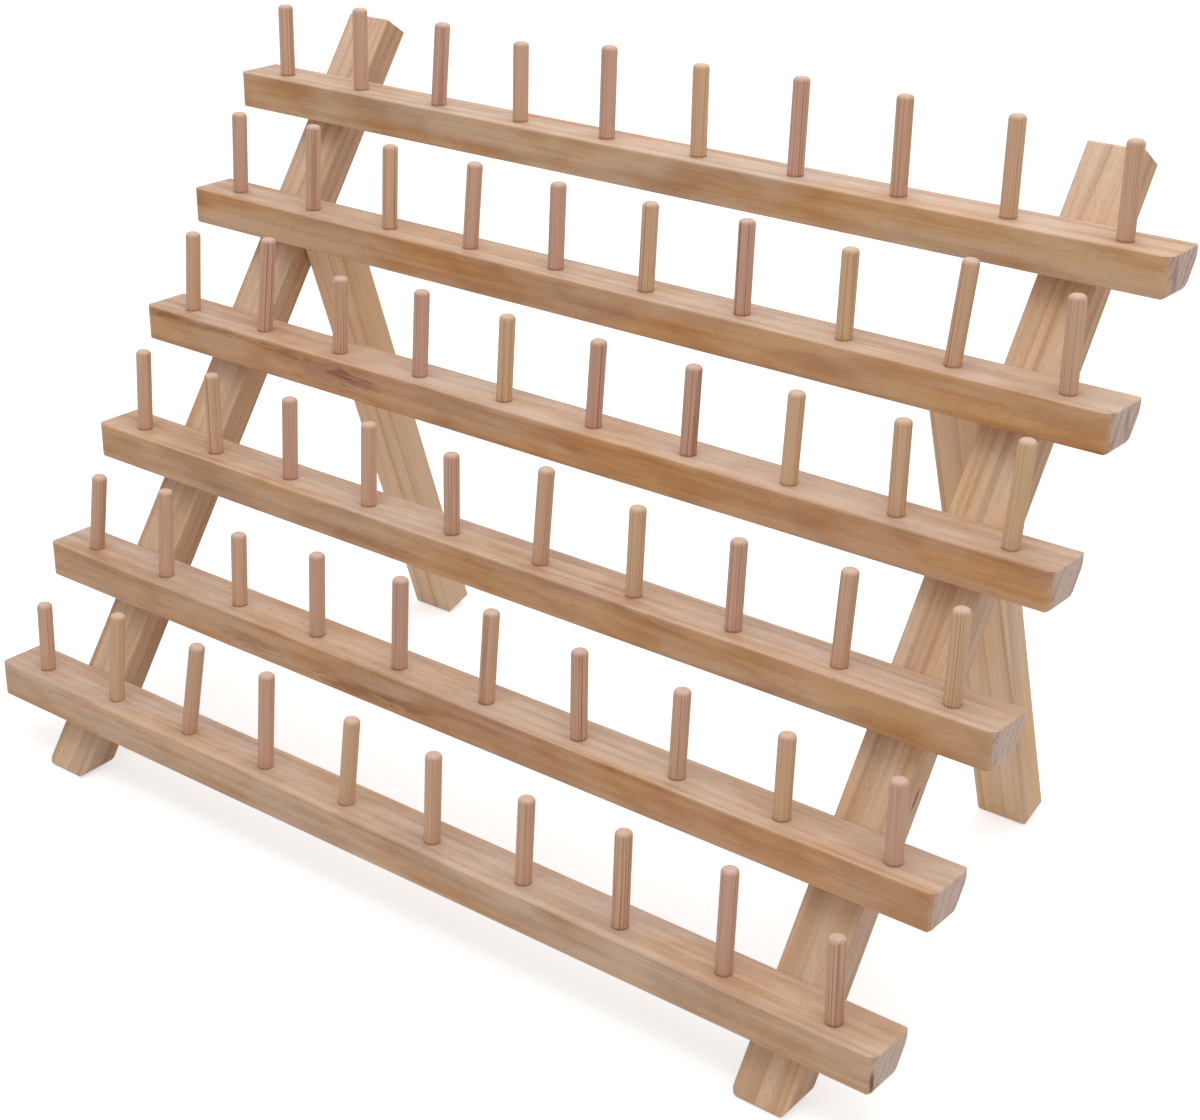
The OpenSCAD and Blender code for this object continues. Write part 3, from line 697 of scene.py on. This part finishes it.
def scatter_tree():
    """Geometry nodes that stand a piece on each point, each one a little different."""
    name = "pieces on points"
    if name in bpy.data.node_groups:
        return bpy.data.node_groups[name]
    tree = bpy.data.node_groups.new(name, "GeometryNodeTree")
    for socket, kind in (("Points", "Geometry"), ("Piece", "Object"), ("Turn", "Vector"), ("Lean", "Float"),
                         ("Rise", "Float"), ("Seed", "Int"), ("Finish", "Material")):
        tree.interface.new_socket(socket, in_out="INPUT", socket_type=f"NodeSocket{kind}")
    tree.interface.new_socket("Pieces", in_out="OUTPUT", socket_type="NodeSocketGeometry")
    given = add(tree, "NodeGroupInput").outputs
    piece = add(tree, "GeometryNodeObjectInfo", {"Object": given["Piece"]}).outputs["Geometry"]
    place = add(tree, "GeometryNodeInputPosition").outputs[0]
    piece = add(tree, "GeometryNodeStoreNamedAttribute",
                {"Geometry": piece, "Name": "own_place", "Value": place},
                data_type="FLOAT_VECTOR", domain="POINT").outputs[0]
    pieces = add(tree, "GeometryNodeInstanceOnPoints",
                 {"Points": given["Points"], "Instance": piece, "Rotation": given["Turn"]}).outputs[0]

    # Each piece leans by its own share and by chance, and is spun about itself
    own_lean, own_rise = (
        add(tree, "GeometryNodeInputNamedAttribute", {"Name": name}, data_type="FLOAT").outputs[0]
        for name in ("own_lean", "own_rise"))
    spread = add(tree, "ShaderNodeCombineXYZ", {0: given["Lean"], 1: given["Lean"], 2: math.pi}).outputs[0]
    back = add(tree, "ShaderNodeVectorMath", {0: spread, "Scale": -1}, operation="SCALE").outputs[0]
    stray = add(tree, "FunctionNodeRandomValue", {0: back, 1: spread, "Seed": given["Seed"]},
                data_type="FLOAT_VECTOR").outputs[0]
    stray = add(tree, "ShaderNodeSeparateXYZ", {0: stray}).outputs
    aside = add(tree, "ShaderNodeMath", {0: stray[1], 1: own_lean}, operation="ADD").outputs[0]
    for turn in ({0: stray[0], 1: aside}, {2: stray[2]}):
        turn = add(tree, "ShaderNodeCombineXYZ", turn).outputs[0]
        pieces = add(tree, "GeometryNodeRotateInstances",
                     {"Instances": pieces, "Rotation": turn}).outputs[0]

    # How proud each one stands, and a number of its own for its shade, each with a seed of its own
    fall = add(tree, "ShaderNodeMath", {0: given["Rise"], 1: -1}, operation="MULTIPLY").outputs[0]
    seed = add(tree, "ShaderNodeMath", {0: given["Seed"], 1: 50}, operation="ADD").outputs[0]
    proud = add(tree, "FunctionNodeRandomValue", {2: fall, 3: given["Rise"], "Seed": seed},
                data_type="FLOAT").outputs[1]
    proud = add(tree, "ShaderNodeMath", {0: proud, 1: own_rise}, operation="ADD").outputs[0]
    lift = add(tree, "ShaderNodeCombineXYZ", {2: proud}).outputs[0]
    pieces = add(tree, "GeometryNodeTranslateInstances",
                 {"Instances": pieces, "Translation": lift}).outputs[0]
    shade_seed = add(tree, "ShaderNodeMath", {0: given["Seed"], 1: 100}, operation="ADD").outputs[0]
    shade = add(tree, "FunctionNodeRandomValue", {"Seed": shade_seed}, data_type="FLOAT").outputs[1]
    for kept, value in (("proud", proud), ("shade", shade)):
        pieces = add(tree, "GeometryNodeStoreNamedAttribute",
                     {"Geometry": pieces, "Name": kept, "Value": value},
                     data_type="FLOAT", domain="INSTANCE").outputs[0]
    real = add(tree, "GeometryNodeRealizeInstances", {"Geometry": pieces}).outputs[0]
    real = add(tree, "GeometryNodeSetMaterial", {"Geometry": real, "Material": given["Finish"]}).outputs[0]
    add(tree, "NodeGroupOutput", {"Pieces": real})
    return tree


def stand_on_points(name, points, piece_mesh, own=None, **values):
    """A plain mesh object of like pieces, one on each point, with what the points carry of their own."""
    scene = bpy.context.scene
    piece = bpy.data.objects.new(name + "_one", piece_mesh)
    mesh = bpy.data.meshes.new(name + "_points")
    mesh.from_pydata(points, [], [])
    for key, numbers in (own or {}).items():
        mesh.attributes.new(key, "FLOAT", "POINT").data.foreach_set("value", numbers)
    holder = bpy.data.objects.new(name + "_points", mesh)
    for thing in (piece, holder):
        scene.collection.objects.link(thing)
    modifier = holder.modifiers.new("pieces", "NODES")
    tree = scatter_tree()
    modifier.node_group = tree
    values["piece"] = piece
    for socket in tree.interface.items_tree:
        if socket.in_out == "INPUT" and socket.name.lower() in values:
            modifier[socket.identifier] = values[socket.name.lower()]
    bpy.context.view_layer.update()
    made = bpy.data.meshes.new_from_object(holder.evaluated_get(bpy.context.evaluated_depsgraph_get()))
    if not made.polygons:
        raise RuntimeError(f"no pieces were made for {name}")
    for thing in (holder, piece):
        bpy.data.objects.remove(thing)
    return plain_object(name, made)


def place_piece(piece, node):
    """Lets a piece stand for a CAD node of the frame."""
    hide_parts(node)
    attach(piece, "frame")


# Operators


class THREADRACK_OT_rails(bpy.types.Operator):
    """Gives each rail its own piece of pine"""

    bl_idname = "thread_rack.rails"
    bl_label = "Rails"

    def execute(self, context):
        colours = context.scene.thread_rack.colours
        for row in ROWS:
            node = f"rail_{row}"
            across = broad_face(node, (0, 0, 1))[1].cross(X_AXIS)
            dress(node, pine_board(
                f"planed pine rail {row}", node, colours, X_AXIS, across, RAIL_STAINS.get(row, ()),
                early=colours.rail_early, late=colours.rail_late, face=linear(RAIL_FRONTS[row]),
                **RAIL_CUTS[row], **RAIL_FIGURE))
        return {"FINISHED"}


class THREADRACK_OT_uprights(bpy.types.Operator):
    """Gives each upright its own piece of pine"""

    bl_idname = "thread_rack.uprights"
    bl_label = "Uprights"

    def execute(self, context):
        colours = context.scene.thread_rack.colours
        for side in SIDES:
            node = f"{side}_upright"
            along = broad_face(node, (0, -1, 0))[1].cross(X_AXIS)
            dress(node, pine_board(
                f"planed pine {side} upright", node, colours, along, X_AXIS, UPRIGHT_STAINS.get(side, ()),
                early=colours.upright_early, late=colours.upright_late, face=colours.upright_side_tone_and_shade,
                **UPRIGHT_CUTS[side], **UPRIGHT_FIGURE))
        return {"FINISHED"}


class THREADRACK_OT_rear_legs(bpy.types.Operator):
    """Gives each rear leg its own piece of pale pine"""

    bl_idname = "thread_rack.rear_legs"
    bl_label = "Rear legs"

    def execute(self, context):
        colours = context.scene.thread_rack.colours
        for side in SIDES:
            node = f"{side}_rear_leg"
            along = broad_face(node, (0, -1, 0))[1].cross(X_AXIS)
            dress(node, pine_board(
                f"planed pale pine {side} leg", node, colours, along, X_AXIS, (),
                early=colours.leg_early, late=colours.leg_late, face=colours.leg_side_tone_and_shade,
                **LEG_CUTS[side], **LEG_FIGURE))
        return {"FINISHED"}


class THREADRACK_OT_pegs(bpy.types.Operator):
    """Turns the pegs and stands a row of them on each rail"""

    bl_idname = "thread_rack.pegs"
    bl_label = "Pegs"

    def execute(self, context):
        sizes = context.scene.thread_rack.pegs
        radius = sizes.diameter / 2
        axis, straight = peg_seat(1, "left")[1:]
        outline = [(0, -sizes.seat), (radius, -sizes.seat), *rounded_rim(radius, sizes.rim, straight)]
        material = softwood_dowel(context.scene.thread_rack.colours, straight)
        for row in ROWS:
            first, last = (peg_seat(row, side)[0] for side in SIDES)
            places = range(sizes.count)
            strays = [STRAYS.get((row, k + 1), (ROW_LEAN[row], 0)) for k in places]
            own = {"own_lean": [math.radians(lean) for lean, _ in strays],
                   "own_rise": [rise * MM for _, rise in strays]}
            pegs = stand_on_points(
                f"turned_pegs_row_{row}", [first.lerp(last, k / (sizes.count - 1)) for k in places],
                lathe("peg", outline), own,
                turn=(-math.atan2(axis.y, axis.z), 0, 0), lean=sizes.lean, rise=sizes.rise,
                seed=sizes.seed + row, finish=material)
            place_piece(pegs, f"peg_row_{row}")
        return {"FINISHED"}


class THREADRACK_OT_pivot_bolts(bpy.types.Operator):
    """Turns and threads the bolts that the legs swing on"""

    bl_idname = "thread_rack.pivot_bolts"
    bl_label = "Pivot bolts"

    def execute(self, context):
        sizes = context.scene.thread_rack.pivots
        material = zinc_plate("bright zinc plate", context.scene.thread_rack.colours.zinc)
        radius = sizes.bolt / 2
        # A 60 degree thread is cut about 0.61 of its pitch deep
        depth = 0.61 * sizes.pitch
        steps_a_turn = 8
        for side, way in SIDES.items():
            node = f"{side}_pivot_bolt"
            low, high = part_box(node)
            top = high.x - low.x
            outline = [(0, 0), (radius - depth, 0)]
            for k in range(1, int(sizes.threaded / sizes.pitch) * steps_a_turn):
                height = k * sizes.pitch / steps_a_turn
                outline.append((lambda turn, rise=height / sizes.pitch: radius - depth * abs(
                    2 * ((rise - turn / (2 * math.pi)) % 1) - 1), height))
            seat = top - sizes.head_height
            outline += [(radius, sizes.threaded + sizes.pitch), (radius, seat), (sizes.head / 2, seat),
                        *rounded_rim(sizes.head / 2, sizes.head_rim, top - sizes.head_rim)]
            cutter = cross_cutter(sizes.recess, sizes.recess / 4, sizes.recess / 4, top)
            bolt = carved(f"{side}_threaded_bolt", lathe("bolt", outline), cutter)
            bolt.data.transform(on_pivot(side, face_x(node, -way)))
            bolt.data.materials.clear()
            bolt.data.materials.append(material)
            place_piece(bolt, node)
        return {"FINISHED"}


class THREADRACK_OT_washers(bpy.types.Operator):
    """Puts three washers on each pivot"""

    bl_idname = "thread_rack.washers"
    bl_label = "Washers"

    def execute(self, context):
        sizes = context.scene.thread_rack.pivots
        inner, outer, thick = sizes.bolt / 2 + sizes.gap, sizes.washer / 2, sizes.washer_thick
        # A punched washer has one soft edge
        soft = thick / 5
        outline = [(inner, 0), (outer, 0), (outer, thick - soft), (outer - soft, thick), (inner, thick)]
        for side, way in SIDES.items():
            _, y, z = HINGES[f"{side}_leg"]["pos_m"]
            under = [face_x(f"{side}_{piece}", way) for piece in ("upright", "rear_leg", "pivot_nut")]
            washers = stand_on_points(
                f"{side}_punched_washers", [(x, y, z) for x in under], lathe("washer", outline, ring=True),
                turn=(0, way * math.pi / 2, 0),
                finish=zinc_plate("bright zinc plate", context.scene.thread_rack.colours.zinc))
            place_piece(washers, f"{side}_pivot_washers")
        return {"FINISHED"}


class THREADRACK_OT_nuts(bpy.types.Operator):
    """Makes the chamfered locking nuts of the pivots"""

    bl_idname = "thread_rack.nuts"
    bl_label = "Locking nuts"

    def execute(self, context):
        sizes = context.scene.thread_rack.pivots
        bore, collar, soft = sizes.bolt / 2 + sizes.gap, sizes.collar / 2, 0.3 * MM
        sixth = math.pi / 3

        def hexagon(round_limit):
            return lambda turn: min(round_limit, sizes.flats / 2 / math.cos(turn % sixth - sixth / 2))

        for side, way in SIDES.items():
            node = f"{side}_pivot_nut"
            low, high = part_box(node)
            top = high.x - low.x
            outline = [(bore, 0), (collar - soft, 0), (collar, soft), (collar, sizes.collar_height)]
            # A cone trims the hexagon's corners at both ends
            for height, limit in ((0, 1.0), (0.35, 1.1), (0.55, 1.2)):
                outline.append((hexagon(limit * sizes.flats / 2), sizes.collar_height + height * MM))
            for height, limit in ((0.4, 1.2), (0.2, 1.1), (0, 1.0)):
                outline.append((hexagon(limit * sizes.flats / 2), top - height * MM))
            nut = plain_object(f"{side}_locking_nut", lathe("nut", outline + [(bore, top)], 48, ring=True))
            nut.data.transform(on_pivot(side, face_x(node, -way)))
            nut.data.materials.append(zinc_plate("bright zinc plate", context.scene.thread_rack.colours.zinc))
            place_piece(nut, node)
        return {"FINISHED"}


class THREADRACK_OT_rail_screws(bpy.types.Operator):
    """Plates the screws that hold the rails"""

    bl_idname = "thread_rack.rail_screws"
    bl_label = "Rail screws"

    def execute(self, context):
        material = zinc_plate("yellow zinc plate", context.scene.thread_rack.colours.yellow_zinc)
        for side in SIDES:
            dress(f"{side}_rail_screws", material)
        return {"FINISHED"}


def seen_by_eye(tree):
    """One for what the camera sees, itself or in metal and glass, and nothing for what lights the rack."""
    path = add(tree, "ShaderNodeLightPath").outputs
    seen = path["Is Camera Ray"]
    for ray in ("Is Glossy Ray", "Is Transmission Ray"):
        seen = add(tree, "ShaderNodeMath", {0: seen, 1: path[ray]}, operation="MAXIMUM").outputs[0]
    return seen


class THREADRACK_OT_stage(bpy.types.Operator):
    """Sets the floor, the light and the camera"""

    bl_idname = "thread_rack.stage"
    bl_label = "Studio"

    def execute(self, context):
        scene = context.scene
        stage = scene.thread_rack.stage
        scene.view_settings.view_transform = "Standard"

        # Matt paper floor, lifted to white for the eye. It still takes the rack's shadow.
        material = bpy.data.materials.new("matt white paper floor")
        material.use_nodes = True
        tree = material.node_tree
        tree.nodes.clear()
        lift = add(tree, "ShaderNodeMath", {0: seen_by_eye(tree), 1: stage.lift},
                   operation="MULTIPLY").outputs[0]
        paper = add(tree, "ShaderNodeBsdfDiffuse", {"Color": (*stage.floor, 1)}).outputs[0]
        glow = add(tree, "ShaderNodeEmission", {"Strength": lift}).outputs[0]
        both = add(tree, "ShaderNodeAddShader", {0: paper, 1: glow}).outputs[0]
        add(tree, "ShaderNodeOutputMaterial", {"Surface": both})
        # It lies a hair below the feet
        reach, below = 9, -0.3 * MM
        mesh = bpy.data.meshes.new("floor")
        mesh.from_pydata([(x * reach, y * reach, below) for x, y in ((-1, -1), (1, -1), (1, 1), (-1, 1))],
                         [], [(0, 1, 2, 3)])
        mesh.materials.append(material)
        floor = bpy.data.objects.new("floor", mesh)
        scene.collection.objects.link(floor)

        world = bpy.data.worlds.new("studio")
        scene.world = world
        world.use_nodes = True
        tree = world.node_tree
        tree.nodes.clear()
        level = add(tree, "ShaderNodeMapRange", {0: seen_by_eye(tree), 3: stage.sky, 4: 1.0}).outputs[0]
        sky = add(tree, "ShaderNodeBackground", {"Color": (1, 1, 1, 1), "Strength": level}).outputs[0]
        add(tree, "ShaderNodeOutputWorld", {"Surface": sky})

        # A wide softbox above, a little to the right, gives the soft shadow under each rail
        light = bpy.data.lights.new("overhead softbox", "AREA")
        light.shape = "RECTANGLE"
        light.size, light.size_y = 1.4, 1.1
        light.energy = stage.lamp
        lamp = bpy.data.objects.new("overhead softbox", light)
        lamp.location = (0.15, 0.05, 1.35)
        lamp.rotation_euler = (Vector((0, 0, 0.1)) - lamp.location).to_track_quat("-Z", "Y").to_euler()
        scene.collection.objects.link(lamp)

        lens = bpy.data.cameras.new("photo camera")
        lens.lens = stage.lens
        lens.sensor_width = 36
        lens.sensor_fit = "HORIZONTAL"
        lens.shift_x, lens.shift_y = stage.shift
        camera = bpy.data.objects.new("photo camera", lens)
        camera.location = stage.camera
        camera.rotation_euler = Euler(stage.aim)
        scene.collection.objects.link(camera)
        scene.camera = camera
        return {"FINISHED"}


OPERATORS = (
    THREADRACK_OT_rails,
    THREADRACK_OT_uprights,
    THREADRACK_OT_rear_legs,
    THREADRACK_OT_pegs,
    THREADRACK_OT_pivot_bolts,
    THREADRACK_OT_washers,
    THREADRACK_OT_nuts,
    THREADRACK_OT_rail_screws,
    THREADRACK_OT_stage,
)


class THREADRACK_PT_pieces(bpy.types.Panel):
    """Lists the pieces of the thread rack"""

    bl_idname = "THREADRACK_PT_pieces"
    bl_label = "Thread rack"
    bl_space_type = "VIEW_3D"
    bl_region_type = "UI"
    bl_category = "Thread rack"

    def draw(self, context):
        for operator in OPERATORS:
            self.layout.operator(operator.bl_idname)


CLASSES = (
    ThreadRackPegs,
    ThreadRackPivots,
    ThreadRackColours,
    ThreadRackStage,
    ThreadRackSettings,
    *OPERATORS,
    THREADRACK_PT_pieces,
)


def register():
    for cls in CLASSES:
        bpy.utils.register_class(cls)
    bpy.types.Scene.thread_rack = PointerProperty(type=ThreadRackSettings)


def unregister():
    del bpy.types.Scene.thread_rack
    for cls in reversed(CLASSES):
        bpy.utils.unregister_class(cls)


def main():
    register()
    for operator in OPERATORS:
        group, name = operator.bl_idname.split(".")
        getattr(getattr(bpy.ops, group), name)()


if __name__ == "__main__":
    main()
